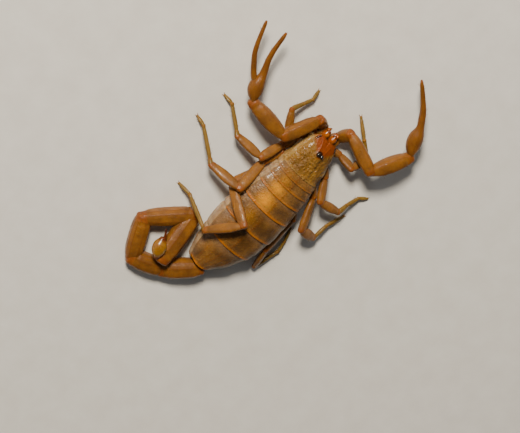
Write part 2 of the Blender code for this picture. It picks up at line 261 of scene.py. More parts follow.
def finishPiece(name, bm, material, standsFor=()):
    bmesh.ops.remove_doubles(bm, verts=bm.verts, dist=2e-6)
    bmesh.ops.recalc_face_normals(bm, faces=bm.faces)
    mesh = bpy.data.meshes.new(name)
    bm.to_mesh(mesh)
    bm.free()
    mesh.shade_smooth()
    mesh.materials.append(material)
    piece = bpy.data.objects.new(name, mesh)
    bpy.context.scene.collection.objects.link(piece)
    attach(piece, "root")
    if standsFor:
        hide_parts(*standsFor)
    return piece


def moveBall(bm, ball, place):                  # shifts a new ball from the origin to a place in millimetres
    bmesh.ops.translate(bm, verts=ball["verts"], vec=Vector(place) * mm)


def domedRun(share, length, startReach, endReach, blunt, domeShare=0.12):
    # distance along a shell and its girth there, with both ends rounded over
    gone = np.clip((share - domeShare) / (1 - 2 * domeShare) * length, 0, length)
    girth = 1
    for reach, inside in ((-startReach, share), (endReach, 1 - share)):
        turn = np.radians(np.clip(inside / domeShare, 0, 1) * 90)
        gone = gone + reach * np.maximum(np.cos(turn), 0) ** (2 / blunt)
        girth = girth * np.maximum(np.sin(turn), 0) ** (2 / blunt)
    return gone, girth


def smoothPath(points, rounds=2):               # rounds a line's corners off
    points = np.array(points, float)
    for again in range(rounds):
        early = points[:-1] * 0.75 + points[1:] * 0.25
        late = points[:-1] * 0.25 + points[1:] * 0.75
        between = np.stack([early, late], axis=1).reshape(-1, 3)
        points = np.vstack([points[:1], between[1:-1], points[-1:]])
    return points


def alongPath(path, gone, feel=0.15):           # places and headings at distances along a line
    marks = goneAlong(path)
    inside = np.clip(gone, 0, marks[-1])

    def placesAt(distance):
        distance = np.clip(distance, 0, marks[-1])
        return np.stack([np.interp(distance, marks, path[:, axis]) for axis in range(3)], axis=1)

    heading = unit(placesAt(inside + feel) - placesAt(inside - feel))
    return placesAt(inside) + heading * (gone - inside)[:, None], heading


# What a limb's segment has where its own look says nothing. Each keel is a row of beads: its place round
# the limb in degrees, its height and width, and how many beads it has in a millimetre.
limbLook = {"blunt": 2.6, "squareness": 2.3, "keels": (), "keelSpan": (0.02, 0.14, 0.9, 0.99), "rim": 0.03,
            "rimAt": 0.97, "waistAt": 0.88, "rimWidth": 0.035, "waistShare": 0.8, "grainMm": 0.9,
            "grainHeight": 0.012, "seed": 5, "redStart": 0.1, "redEnd": 0.14, "dark": (0, 1, 0), "tone": 0}


def limbShell(bm, path, hinge, sizes, ownLook):     # one limb segment, rolled round its middle line
    look = dict(limbLook, **ownLook)
    path = np.array(path, float)
    length = np.linalg.norm(np.diff(path, axis=0), axis=1).sum()
    reach = [share * sizes[1] for share in look["reach"]]

    def surface(share, angle):
        gone, girth = domedRun(share, length, *reach, look["blunt"])
        place, heading = alongPath(path, gone)
        dorsal = unit(np.cross(heading, hinge))
        side = unit(np.cross(dorsal, heading))
        spot = gone / length
        across, high = oval(angle, look["squareness"])
        halfSide = sizes[0] * curveThrough(spot, look["profile"], 1)
        halfHigh = sizes[1] * curveThrough(spot, look["profile"], 2)
        across = across * halfSide
        high = high * halfHigh
        radius = np.hypot(across, high)
        startLow, startFull, endFull, endLow = look["keelSpan"]
        inner = ease(spot, startLow, startFull) * (1 - ease(spot, endFull, endLow))
        keel = np.zeros(len(share))
        rise = np.zeros(len(share))
        for keelAngle, height, width, beads in look["keels"]:
            ridge = bell(np.radians(turnGap(angle, keelAngle)) * (halfSide + halfHigh) / 2, 0, width)
            bead = 0.5 + 0.5 * np.cos(gone * beads * fullTurn + keelAngle)
            keel = np.maximum(keel, ridge * inner)
            rise = rise + ridge * inner * height * (0.35 + 0.65 * bead)
        rise = rise + bell(spot, look["rimAt"], look["rimWidth"]) * look["rim"]
        rise = rise - bell(spot, look["waistAt"], look["rimWidth"]) * look["rim"] * look["waistShare"]
        scale = girth * (radius + rise * girth) / np.maximum(radius, 1e-6)
        points = place + side * (across * scale)[:, None] + dorsal * (high * scale)[:, None]
        grain = ripple(points, look["grainMm"], look["seed"]) * look["grainHeight"] * girth
        points = points + unit(points - place) * grain[:, None]
        nearStart = 1 - ease(spot, 0, look["redStart"])
        nearEnd = ease(spot, 1 - look["redEnd"], 1)
        # the dark share darkens a segment towards its end; on the pincers' fingers this is partly their own
        # darker horn, partly painted shade
        darkFrom, darkTo, darkAndShadeShare = look["dark"]
        keel = np.maximum(keel, darkAndShadeShare * ease(spot, darkFrom, darkTo))
        return points, {"keel": keel, "joint": np.maximum(nearStart, nearEnd), "tone": look["tone"]}

    rollGrid(bm, *look["cells"], surface)
    return surface


# Materials. Colours are sRGB hex, turned linear by one function.

def linearColour(hexColour):
    parts = [int(hexColour[start:start + 2], 16) / 255 for start in (1, 3, 5)]
    return [part / 12.92 if part <= 0.04045 else ((part + 0.055) / 1.055) ** 2.4 for part in parts] + [1.0]


def addNode(tree, kind, sockets=None, **settings):
    node = tree.nodes.new("ShaderNode" + kind)
    for setting, value in settings.items():
        setattr(node, setting, value)
    for socket, value in (sockets or {}).items():
        if isinstance(value, bpy.types.NodeSocket):
            tree.links.new(value, node.inputs[socket])
        else:
            node.inputs[socket].default_value = value
    return node


def newMaterial(name):
    material = bpy.data.materials.new(name)
    material.use_nodes = True
    tree = material.node_tree
    tree.nodes.clear()
    return material, tree


# The colours laid over the base, from the lowest up, and the tint or pattern that says where each one lies
colourLayers = (("deep", "patch"), ("streak", "streak"), ("haze", "haze"), ("mottleAndShade", "mottleAndShade"), ("pale", "tone"),
                ("speck", "speck"), ("keel", "keel"), ("joint", "joint"))


def cuticle(name, paint):
    # Cuticle: horn-like armour of chitin that hardened in the air. It gives the eye a thin waxy gloss over
    # colour that light soaks into, with soft patches, fine specks, low beads and shallow wrinkles. The real
    # beads are finer: beadMm is as coarse as it needs to be for them to show.
    material, tree = newMaterial(name)
    place = addNode(tree, "TexCoord").outputs["Object"]
    levels = {tint: addNode(tree, "Attribute", attribute_name=tint).outputs["Fac"] for tint in tintNames}
    patterns = {"patch": (place, 0.36, 0.66, 3.0), "speck": (place, 0.5, 0.72, 2.0)}
    if paint["streakShare"]:                    # streaks are drawn out from front to back
        drawn = addNode(tree, "Mapping", {"Vector": place, "Scale": (1, 0.12, 1)})
        patterns["streak"] = (drawn.outputs["Vector"], 0.45, 0.7, 2.0)
    for pattern, (vector, low, high, detail) in patterns.items():
        noise = addNode(tree, "TexNoise", {"Vector": vector, "Scale": 1 / (paint[pattern + "Mm"] * mm),
                                           "Detail": detail, "Roughness": 0.55})
        spread = addNode(tree, "MapRange", {"Value": noise.outputs["Fac"], "From Min": low, "From Max": high})
        levels[pattern] = spread.outputs["Result"]
    colour = linearColour(paint["base"])
    for tint, level in colourLayers:
        if level in levels:
            most = paint.get(level + "Share", 1)
            share = addNode(tree, "Math", {0: levels[level], 1: most}, operation="MULTIPLY").outputs[0]
            sockets = {0: share, 6: colour, 7: linearColour(paint[tint])}
            colour = addNode(tree, "Mix", sockets, data_type="RGBA").outputs[2]
    beadSize, wrinkleSize = paint["beadMm"] * mm, paint["wrinkleMm"] * mm
    cells = addNode(tree, "TexVoronoi", {"Vector": place, "Scale": 1 / beadSize, "Randomness": 0.85},
                    feature="SMOOTH_F1")
    bead = addNode(tree, "MapRange", {"Value": cells.outputs["Distance"], "From Min": 0.5, "From Max": 0.1})
    flatter = addNode(tree, "Math", {0: levels["tone"], 1: -0.75, 2: 1.0}, operation="MULTIPLY_ADD")
    height = addNode(tree, "Math", {0: bead.outputs["Result"], 1: flatter.outputs[0]}, operation="MULTIPLY")
    beadBump = addNode(tree, "Bump", {"Height": height.outputs[0], "Strength": paint["beadStrength"],
                                      "Distance": beadSize * 0.35})
    wrinkle = addNode(tree, "TexNoise", {"Vector": place, "Scale": 1 / wrinkleSize, "Detail": 4.0})
    bump = addNode(tree, "Bump", {"Height": wrinkle.outputs["Fac"], "Strength": paint["wrinkleStrength"],
                                  "Distance": wrinkleSize * 0.3, "Normal": beadBump.outputs["Normal"]})
    rough = addNode(tree, "MapRange", {"Value": levels["patch"], "To Min": paint["rough"] - 0.05,
                                       "To Max": paint["rough"] + 0.09})
    shader = addNode(tree, "BsdfPrincipled", {
        "Base Color": colour, "Roughness": rough.outputs["Result"], "Normal": bump.outputs["Normal"],
        "IOR": 1.54, "Specular IOR Level": paint["shine"],
        "Subsurface Weight": paint["glow"], "Subsurface Radius": (1.0, 0.45, 0.18),
        "Subsurface Scale": paint["glowMm"] * mm,
        "Coat Weight": paint["coat"], "Coat Roughness": paint["coatRough"]})
    addNode(tree, "OutputMaterial", {"Surface": shader.outputs["BSDF"]})
    return material


# Limb armour: smooth waxy cuticle, warm where light soaks in, redder at the joints, browner on the keels
amberPaint = {
    "base": "#855622", "deep": "#69421A", "pale": "#99733A", "speck": "#5A3414", "keel": "#663814",
    "joint": "#7E3C12", "haze": "#C09A50", "mottleAndShade": "#4C3214", "streak": "#8A5018", "streakMm": 0.12,
    "streakShare": 0.0, "patchMm": 1.6, "speckMm": 0.28, "speckShare": 0.3, "keelShare": 0.6,
    "jointShare": 0.55, "beadMm": 0.16, "beadStrength": 0.3, "wrinkleMm": 0.5, "wrinkleStrength": 0.2,
    "rough": 0.34, "shine": 0.17, "glow": 0.2, "glowMm": 0.4, "coat": 0.06, "coatRough": 0.1,
}
# The legs' thin ends: a weaker, straw-coloured cuticle with little red in it
strawPaint = dict(amberPaint, base="#785B25", deep="#60461B", pale="#80662D", speck="#6E4816",
                  joint="#8A5212", speckShare=0.2, jointShare=0.5, glow=0.25, rough=0.36)
# Back plates: duller and grained, smoky where they are thick, glowing orange at their thin rear rims. Their
# pale colour is painted light, a golden glow on the lit side, and their dark mottle colour is partly their
# own mottling, partly painted shade.
backPaint = dict(amberPaint, base="#886030", deep="#543C24", pale="#DA9018", speck="#462E14", keel="#743E10",
                 joint="#BE6C12", haze="#7C644E", streak="#6C4C1C", streakShare=0.4, patchMm=1.7,
                 speckMm=0.22, beadMm=0.22, beadStrength=0.55, speckShare=0.4, keelShare=0.4, jointShare=1.0,
                 glow=0.25, coat=0.1)
# Head shield: the same cuticle set with granules, red in front, with black pigment round the eyes
shieldPaint = dict(backPaint, base="#886228", deep="#68481E", pale="#7E3402", keel="#100A08", keelShare=0.96,
                   joint="#A8844A", jointShare=0.6, streakShare=0.2, shine=0.14, rough=0.36, coat=0.04,
                   beadMm=0.3, beadStrength=0.8)
# Jaws: thick, smooth and shiny, orange going to red-brown at the tips
jawPaint = dict(amberPaint, base="#A65A0A", deep="#8A3E04", joint="#4A1A06", jointShare=0.8,
                glow=0.25, beadStrength=0.1, rough=0.22, shine=0.5, coat=0.4)
# Poison bulb: thin and polished, honey-coloured, so light goes deepest here
telsonPaint = dict(amberPaint, base="#9E7220", deep="#885A16", joint="#581A06", jointShare=0.85,
                   beadStrength=0.08, rough=0.2, keelShare=0.3, shine=0.4, glow=0.35, glowMm=0.8, coat=0.25,
                   coatRough=0.07)
# Sting: solid dark horn with a hard gloss
stingPaint = dict(amberPaint, base="#74380C", deep="#5A2608", joint="#481806", jointShare=0.9,
                  beadStrength=0.0, wrinkleStrength=0.08, rough=0.18, coat=0.7, coatRough=0.06, glow=0.1)
# Flanks and joints: soft skin, lilac-tan, finely folded, with light well into it
skinPaint = dict(amberPaint, base="#AC9070", deep="#8A6E52", pale="#94702C", speck="#6E5038", joint="#9A5A20",
                 patchMm=1.2, speckMm=0.15, speckShare=0.2, beadMm=0.12, wrinkleMm=0.35, wrinkleStrength=0.4,
                 rough=0.38, glow=0.35, glowMm=0.6, coat=0.2, coatRough=0.2)
# Eyes: black lenses, smooth as glass, each with a small hard highlight
eyePaint = dict(amberPaint, base="#0A0808", deep="#120C08", speck="#050404", beadStrength=0.0,
                wrinkleStrength=0.0, rough=0.08, shine=0.7, coat=1.0, coatRough=0.03, glow=0.0)

amberCuticle = cuticle("amber_cuticle", amberPaint)
strawCuticle = cuticle("straw_cuticle", strawPaint)
backCuticle = cuticle("back_plate_cuticle", backPaint)
shieldCuticle = cuticle("head_shield_cuticle", shieldPaint)
jawCuticle = cuticle("jaw_cuticle", jawPaint)
telsonCuticle = cuticle("telson_cuticle", telsonPaint)
stingHorn = cuticle("sting_horn", stingPaint)
flankSkin = cuticle("flank_membrane", skinPaint)
eyeLens = cuticle("eye_lens", eyePaint)
print("materials made")


# The legs: six segments and two claws each, thin from front to back and deep from top to sole

# The parts are in order, from the hip to the foot. A profile's rows are the place along the part, and the
# half width and half height there as shares of the solid's.
legKeels = [(angle, height, .07, 3.4) for angle, height in ((58, .06), (122, .06), (238, .05), (302, .05))]
legLook = {
    "trochanter": {"profile": ((0, .8, .8), (.3, 1, 1), (.8, 1.05, 1.05), (1, .95, .95)),
                   "reach": (.5, .45), "cells": (36, 28), "redEnd": .3, "tone": 0.1},
    "femur": {"profile": ((0, .72, .62), (.14, .86, .84), (.5, 1, 1.04), (.85, 1.0, 1.0), (1, .9, .86)),
              "reach": (.5, .58), "cells": (84, 32), "tone": 0.1, "keels": legKeels},
    "patella": {"profile": ((0, .72, .56), (.16, .92, .92), (.42, 1.06, 1.14), (.78, .98, .96), (1, .8, .72)),
                "reach": (.5, .48), "cells": (84, 32), "tone": 0.1,
                "keels": [(angle, .05, .07, 3.2) for angle in (62, 118, 245, 295)]},
    "tibia": {"profile": ((0, .82, .8), (.12, .98, 1), (.6, .92, .94), (1, .84, .84)),
              "reach": (.5, .5), "cells": (64, 24), "tone": 0.3, "redEnd": .1},
    "basitarsus": {"profile": ((0, .8, .8), (.2, .95, .95), (.8, .86, .86), (1, .84, .84)),
                   "reach": (.5, .45), "cells": (44, 22), "tone": 0.4, "redEnd": .1},
    "tarsus": {"profile": ((0, .74, .74), (.25, .9, .92), (.8, .74, .8), (1, .5, .62)),
               "reach": (.5, .3), "cells": (44, 22), "tone": 0.45, "redEnd": .06},
}
clawLook = {"length": 0.42, "sizes": (0.075, 0.075), "spread": 26, "inside": 0.14, "rootInside": 0.12,
            "bendAt": 0.55, "arch": 0.05, "tipHeight": 0.03,
            "profile": ((0, 1, 1), (.5, .75, .75), (1, .3, .3)), "reach": (.5, .5), "cells": (14, 8),
            "redStart": 0.01, "redEnd": 0.5}
legBristles = {"femur": 0.5, "patella": 0.5, "tibia": 0.9}      # how thickly each shell is set with them
legJoints = {}


def clawPair(bm, foot, heading, hinge):         # two curved claws at a foot's end
    tip = foot - heading * clawLook["inside"]
    for way in (-1, 1):
        turn = math.radians(clawLook["spread"]) * way
        ahead = heading * math.cos(turn) + hinge * math.sin(turn)
        middle = tip + ahead * clawLook["length"] * clawLook["bendAt"] + up * clawLook["arch"]
        end = tip + ahead * clawLook["length"]
        end[2] = clawLook["tipHeight"]
        path = smoothPath([tip - heading * clawLook["rootInside"], middle, end])
        limbShell(bm, path, hinge, clawLook["sizes"], clawLook)


def buildLeg(side, number):
    name = f"{side}_leg_{number}"
    femur = traceLine(name + "_femur", "coxosternum")
    patella = traceLine(name + "_patella", name + "_femur")
    tibia = traceLine(name + "_tibia", name + "_patella")
    knee = meet(endRay(femur, True, False), endRay(patella, False, True))
    ankle = meet(endRay(patella, True, True), endRay(tibia, False, False))
    trochanter = cornersOf(femur, 1)[0]
    joints = [femur[0], trochanter, knee, ankle, *cornersOf(tibia, 2), tibia[-1]]
    legJoints[name] = joints
    hinge = unit(np.cross(unit(knee - trochanter), unit(ankle - knee)))
    for ending, parts, material, slot in (
            ("femur", ("trochanter", "femur"), amberCuticle, "amber_shell"),
            ("patella", ("patella",), amberCuticle, "amber_shell"),
            ("tibia", ("tibia", "basitarsus", "tarsus"), strawCuticle, "straw_leg")):
        bm = newBuild()
        faces = nodeFaces(f"{name}_{ending}")
        for part in parts:
            place = list(legLook).index(part)
            start, end = joints[place:place + 2]
            sizes = halfSizes(faces, start + (end - start) * 0.5, unit(end - start), hinge)
            surface = limbShell(bm, [start, end], hinge, sizes, dict(legLook[part], seed=number * 10 + place))
            bristleBeds.append((surface, np.linalg.norm(end - start), legBristles[ending]))
        if ending == "tibia":
            toes = unit(joints[-1] - joints[-2])
            clawPair(bm, joints[-1], toes, unit(np.cross(up, toes)))
        finishPiece(f"{name}_{ending}_shell", bm, material, [f"{name}_{ending}"])


for side in sides:
    for number in (1, 2, 3, 4):
        buildLeg(side, number)
print("legs made")


# The tail: five ringed and keeled segments, then the poison bulb and its sting

tailLook = {
    "profile": ((0, .72, .72), (.1, .86, .85), (.35, .98, .98), (.6, 1, .99), (.86, .94, .93), (1, .82, .8)),
    "reach": (.35, .5), "cells": (120, 72), "squareness": 2.5, "rim": 0.04, "blunt": 3.2, "redEnd": 0.08,
    "keels": [(48, .09, .08, 3.6), (132, .09, .08, 3.6), (12, .06, .08, 3.4), (168, .06, .08, 3.4),
              *((angle, .08, .09, 3.4) for angle in (215, 325, 250, 290))],
    "beforeRoot": 0.2, "pastTip": 0.1, "sizeAt": 0.55, "bristles": 0.7,
}
bulbLook = {"profile": ((0, .42, .42), (.1, .62, .6), (.35, .98, .98), (.55, 1.0, 1.02), (.8, .84, .86),
                        (1, .5, .5)),
            "reach": (.2, .3), "cells": (80, 56), "redStart": 0.2, "redEnd": 0.06, "rim": 0.0,
            "keels": ((270, .05, .12, 2.5), (235, .03, .1, 2.5), (305, .03, .1, 2.5)),
            "bristleRun": 2.6, "bristles": 0.9}
collarLook = {"sizes": (0.5, 0.5), "profile": ((0, 1.1, 1.1), (.5, .9, .9), (1, .8, .8)), "reach": (.6, .5),
              "cells": (30, 28), "rim": 0.03, "redStart": 0.01, "redEnd": 2.0}
stingLook = {"sizes": (0.36, 0.36), "profile": ((0, 1.3, 1.3), (.3, .95, .95), (.7, .6, .6), (1, .18, .18)),
             "reach": (.5, .4), "cells": (60, 24), "rim": 0.0, "redStart": 0.01, "redEnd": 0.4,
             "insideBulb": 0.3}


def buildTail():
    names = [f"metasoma_{number}" for number in (1, 2, 3, 4, 5)]
    lines = [traceLine(name, near) for name, near in zip(names, ["trunk"] + names)]
    bulb = traceLine("vesicle", "metasoma_5")
    sting = traceLine("aculeus", "vesicle")
    joints = [lines[0][0] - unit(lines[0][4] - lines[0][0]) * tailLook["beforeRoot"]]
    for first, second in zip(lines, lines[1:]):
        joints.append(meet(endRay(first, True, True), endRay(second, False, True)))
    joints.append(lines[4][-1] + unit(lines[4][-1] - lines[4][-5]) * tailLook["pastTip"])
    bend = np.cross(unit(joints[2] - joints[1]), unit(joints[3] - joints[2]))
    hinge = unit(-up * np.sign(bend[2]))        # the tail lies on its side, so it bends about an upright line
    for place, name in enumerate(names):
        start, end = joints[place:place + 2]
        widest = start + (end - start) * tailLook["sizeAt"]
        sizes = halfSizes(nodeFaces(name), widest, unit(end - start), hinge)
        bm = newBuild()
        surface = limbShell(bm, [start, end], hinge, sizes, dict(tailLook, seed=60 + place))
        bristleBeds.append((surface, np.linalg.norm(end - start), tailLook["bristles"]))
        finishPiece(f"{name}_shell", bm, amberCuticle, [name])
    bulbMiddle = bulb[len(bulb) // 2]
    sizes = halfSizes(nodeFaces("vesicle"), bulbMiddle, unit(bulb[-1] - bulb[0]), hinge)
    bm = newBuild()
    surface = limbShell(bm, smoothPath([bulb[0], bulbMiddle, bulb[-1]]), hinge, sizes, bulbLook)
    bristleBeds.append((surface, bulbLook["bristleRun"], bulbLook["bristles"]))
    limbShell(bm, [joints[5], bulb[1]], hinge, collarLook["sizes"], collarLook)
    finishPiece("vesicle_shell", bm, telsonCuticle, ["vesicle"])
    bm = newBuild()
    root = bulb[-1] - unit(bulb[-1] - bulb[-4]) * stingLook["insideBulb"]
    path = smoothPath([root, sting[0], sting[len(sting) // 2], sting[-1]])
    limbShell(bm, path, hinge, stingLook["sizes"], stingLook)
    finishPiece("sting_shell", bm, stingHorn, ["aculeus"])
    return joints


tailJoints = buildTail()
print("tail made")


# The pincers: squarish keeled arms, a rounded hand and long slim fingers that meet along beaded ridges

armKeels = [*((angle, .08, .08, 3.6) for angle in (42, 138, 222, 318)), (90, .04, .08, 3.2)]
armLook = {
    "trochanter": {"profile": ((0, .75, .75), (.3, 1, 1), (.8, 1.05, 1.05), (1, .95, .95)),
                   "reach": (.5, .45), "cells": (44, 36)},
    "femur": {"profile": ((0, .6, .6), (.14, .84, .84), (.5, 1, 1.02), (.85, 1.0, 1.0), (1, .84, .84)),
              "reach": (.5, .5), "cells": (110, 56)},
    "patella": {"profile": ((0, .58, .56), (.14, .82, .84), (.5, 1.06, 1.1), (.8, .94, .96), (1, .74, .72)),
                "reach": (.5, .5), "cells": (110, 56)},
}
# A hand or finger takes its profile from its solid: slim is the share of the girth left from slimFrom on.
# dark darkens the hand towards the fingers: partly the fingers' own darker horn, partly painted shade.
handLook = {"cells": (170, 48), "squareness": 2.15, "rim": 0, "blunt": 2.3, "redStart": 0.04, "redEnd": 0.02,
            "dark": (-0.5, 0.5, 0.55), "reach": (0.5, 0.02), "rootGirth": 0.8, "tipGirth": 0.6, "slim": 0.84,
            "slimFrom": 0.4, "slimRun": 0.15, "stops": 9, "biteRidge": (90, .05, .06, 3.6),
            "keels": ((60, .05, .08, 3.2), (120, .05, .08, 3.2), (0, .04, .08, 3.2), (180, .04, .08, 3.2))}
fingerLook = dict(handLook, cells=(120, 36), rootGirth=1.0, slim=0.86, slimFrom=-0.2, stops=6,
                  biteRidge=(270, .05, .06, 3.6), keels=(), palmShare=0.6, insidePalm=0.9)
armBristles = {"arm": 0.6, "hand": 0.8}


def sweptFinger(bm, name, line, look, root=()):     # follows a solid's own middle line and half sizes
    faces = nodeFaces(name)
    marks = []
    for place in range(2, len(line) - 2, 2):
        wide, high = halfSizes(faces, line[place], unit(line[place + 2] - line[place - 2]), up)
        marks.append((place / (len(line) - 1), wide, high))
    marks = np.array(marks)
    slimming = (1 - look["slim"]) * ease(marks[:, 0], look["slimFrom"], look["slimFrom"] + look["slimRun"])
    marks[:, 1:] *= (1 - slimming)[:, None]
    for again in range(2):
        marks[1:-1, 1:] = (marks[:-2, 1:] + marks[1:-1, 1:] * 2 + marks[2:, 1:]) / 4
    start = (0, *marks[0, 1:] * look["rootGirth"])
    end = (1, *marks[-1, 1:] * look["tipGirth"])
    look = dict(look, profile=[start, *marks, end], keels=(look["biteRidge"], *look["keels"]))
    stops = np.linspace(0, len(line) - 1, look["stops"]).round().astype(int)
    path = smoothPath(np.vstack([*root, line[stops]]), 4)
    surface = limbShell(bm, path, up, (1, 1), look)
    bristleBeds.append((surface, len(line) * traceLook["step"], armBristles["hand"]))


def buildArm(side):
    name = f"{side}_palp"
    lines = {}
    near = f"chelicera_{side}"
    for part in ("trochanter", "femur", "patella", "hand"):
        lines[part] = traceLine(f"{name}_{part}", near)
        near = f"{name}_{part}"
    finger = traceLine(f"{name}_movable_finger", f"{name}_patella")
    hand = lines["hand"]
    elbows = [meet(endRay(lines[first], True, True), endRay(lines[second], False, True))
              for first, second in (("trochanter", "femur"), ("femur", "patella"))]
    wrist = meet(endRay(lines["patella"], True, True), (hand[3], unit(hand[3] - hand[9])))
    joints = [lines["trochanter"][0], *elbows, wrist]
    for place, part in enumerate(armLook):
        start, end = joints[place:place + 2]
        sizes = halfSizes(nodeFaces(f"{name}_{part}"), (start + end) / 2, unit(end - start), up)
        bm = newBuild()
        look = dict(armLook[part], squareness=2.7, seed=80 + place, keels=armKeels, rim=0.04)
        surface = limbShell(bm, [start, end], up, sizes, look)
        bristleBeds.append((surface, np.linalg.norm(end - start), armBristles["arm"]))
        finishPiece(f"{name}_{part}_shell", bm, amberCuticle, [f"{name}_{part}"])
    handLine = np.vstack([[wrist + unit(hand[0] - wrist) * 0.1], hand])
    bm = newBuild()
    sweptFinger(bm, f"{name}_hand", handLine, handLook)
    finishPiece(f"{name}_hand_shell", bm, amberCuticle, [f"{name}_hand"])
    palm = handLine[np.linalg.norm(handLine - finger[0], axis=1).argmin()]
    root = palm * fingerLook["palmShare"] + finger[0] * (1 - fingerLook["palmShare"])
    root = root - unit(finger[3] - finger[0]) * fingerLook["insidePalm"]
    bm = newBuild()
    sweptFinger(bm, f"{name}_movable_finger", finger, fingerLook, [root])
    finishPiece(f"{name}_movable_finger_shell", bm, amberCuticle, [f"{name}_movable_finger"])
    return joints


armJoints = {side: buildArm(side) for side in sides}
print("pincers made")


# The body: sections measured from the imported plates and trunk, then plates and skin built on them

plateNames = ["carapace", *[f"tergite_{number}" for number in range(1, 8)]]
bodyLook = {"longCuts": (.04, .25, .5, .75, .93), "shortCuts": (.5,), "cutHeight": 3.0, "reach": 30,
            "coreHalf": 1.0, "bellyHeight": 2.4, "squareness": 2.2, "thinnest": 0.1}


def measureBody():
    upper = np.concatenate([nodeFaces(name) for name in (*plateNames, "trunk")])
    lower = np.concatenate([nodeFaces(name) for name in ("trunk", "coxosternum")])
    rearward = np.array([0.0, 1.0, 0.0])
    rows = []
    for name in plateNames:
        low, high = boxOf(name)[:, 1]
        for share in bodyLook["longCuts" if name in ("carapace", "tergite_7") else "shortCuts"]:
            station = low + (high - low) * share
            spot = np.array([0, station, bodyLook["cutHeight"]])
            points, belly = (sliceNear(faces, spot, rearward, bodyLook["reach"]).reshape(-1, 3)
                             for faces in (upper, lower))
            left = points[points[:, 0].argmax()]
            right = points[points[:, 0].argmin()]
            middle, wide = (left + right)[[0, 2]] / 2
            inside = np.abs(belly[:, 0] - middle) < bodyLook["coreHalf"]
            bottom = belly[inside][:, 2].min() if inside.any() else bodyLook["bellyHeight"]
            rows.append((station, middle, (left[0] - right[0]) / 2, points[:, 2].max(), wide, max(bottom, 0)))
    return rows


bodyRows = measureBody()
bodyFront = boxOf("carapace")[0][1]
plateEnds = [boxOf(name)[1][1] for name in plateNames]
bodyRear = plateEnds[-1]


def bodyPoint(station, angle, lift=0.0):        # 0 degrees is her left, 90 the back, 270 the belly
    middle, half, top, wide, bottom = [curveThrough(station, bodyRows, column) for column in range(1, 6)]
    across, high = oval(angle, bodyLook["squareness"])
    tall = np.where(high > 0, top - wide, wide - bottom)
    point = np.stack([middle + across * half, station, wide + high * tall], axis=-1)
    sideways, upwards = (size / np.maximum(reach, bodyLook["thinnest"])
                         for size, reach in ((across, half), (high, tall)))
    slope = np.stack([sideways, np.zeros_like(across), upwards], axis=-1)
    return point + unit(slope) * np.asarray(lift)[..., None]


# The skin between the plates: pleated flanks, belly plates and soft joints, all one piece. The spans are
# degrees above or below the sides, or millimetres from front to back.

skinLook = {"cells": (300, 150), "fromFront": 0.9, "shorter": 1.4, "endReach": (0.2, 0.35), "blunt": 3.0,
            "domeShare": 0.03, "flankAt": 2, "flankSpread": 30, "plateSpan": (16, 28), "plateDrop": 0.22,
            "bellySpan": (30, 44), "bellyStart": (-1.0, 0.5), "bellyEnds": (3.4, 5.9, 8.7, 11.4),
            "bellyGroove": 0.07, "pleatDegrees": 3.2, "pleatHeight": 0.05, "creaseDepth": 0.16,
            "creaseWidth": 0.16, "neck": (-1, 2.5), "neckTone": 0.75, "ballShare": 0.8,
            "legBalls": (0.34, 0.36, 0.3, 0.22, 0.18), "armBalls": (0.55, 0.6, 0.5), "tailBall": 0.78}


def skinSurface(share, angle):
    look = skinLook
    length = bodyRear - bodyFront - look["shorter"]
    gone, girth = domedRun(share, length, *look["endReach"], look["blunt"], look["domeShare"])
    station = bodyFront + look["fromFront"] + gone
    above = np.degrees(np.arcsin(np.clip(oval(angle, bodyLook["squareness"])[1], -1, 1)))
    flank = bell(above, look["flankAt"], look["flankSpread"])
    under = ease(above, *look["plateSpan"])     # tucked in under the plates
    belly = ease(-above, *look["bellySpan"]) * ease(station, *look["bellyStart"])
    waver = ripple(np.stack([station, above / 12, above * 0], axis=1), 2.5, 3)
    pleats = np.sin(above / look["pleatDegrees"] + 0.6 * waver)
    lift = -look["plateDrop"] * under + flank * look["pleatHeight"] * (pleats + 1)
    for end in plateEnds:
        crease = bell(station, end + 0.1 * np.sin(above / 9), look["creaseWidth"])
        lift = lift - flank * look["creaseDepth"] * crease
    for end in look["bellyEnds"]:               # the rear edges of the belly plates
        lift = lift - belly * look["bellyGroove"] * bell(station, end, 0.12)
    points = bodyPoint(station, angle, lift)
    middle, wide = (curveThrough(station, bodyRows, column) for column in (1, 4))
    core = np.stack([middle, station, wide], axis=-1)
    points = core + (points - core) * girth[:, None]
    grain = ripple(points, 0.45, 21) * 0.018 + ripple(points, 1.1, 22) * 0.03
    points = points + unit(points - core) * (grain * girth * (0.3 + 0.7 * flank))[:, None]
    neckFrom, neckTo = look["neck"]
    neck = look["neckTone"] * (1 - ease(station, plateEnds[0] + neckFrom, plateEnds[0] + neckTo))
    pale = np.maximum(np.maximum(belly, under), neck)
    return points, {"joint": 0.5 * belly * bell(gone, 8, 7), "tone": pale}


def buildSkin():
    bm = newBuild()
    rollGrid(bm, *skinLook["cells"], skinSurface)
    balls = []
    for limbs, sizes in ((legJoints, skinLook["legBalls"]), (armJoints, skinLook["armBalls"])):
        for points in limbs.values():
            balls += zip(points[1:], sizes)
    balls += [(point, skinLook["tailBall"]) for point in tailJoints]
    for point, size in balls:
        radius = size * skinLook["ballShare"] * mm
        moveBall(bm, bmesh.ops.create_icosphere(bm, subdivisions=3, radius=radius), point)
    finishPiece("soft_skin", bm, flankSkin, ["trunk"])


buildSkin()
print("skin made")
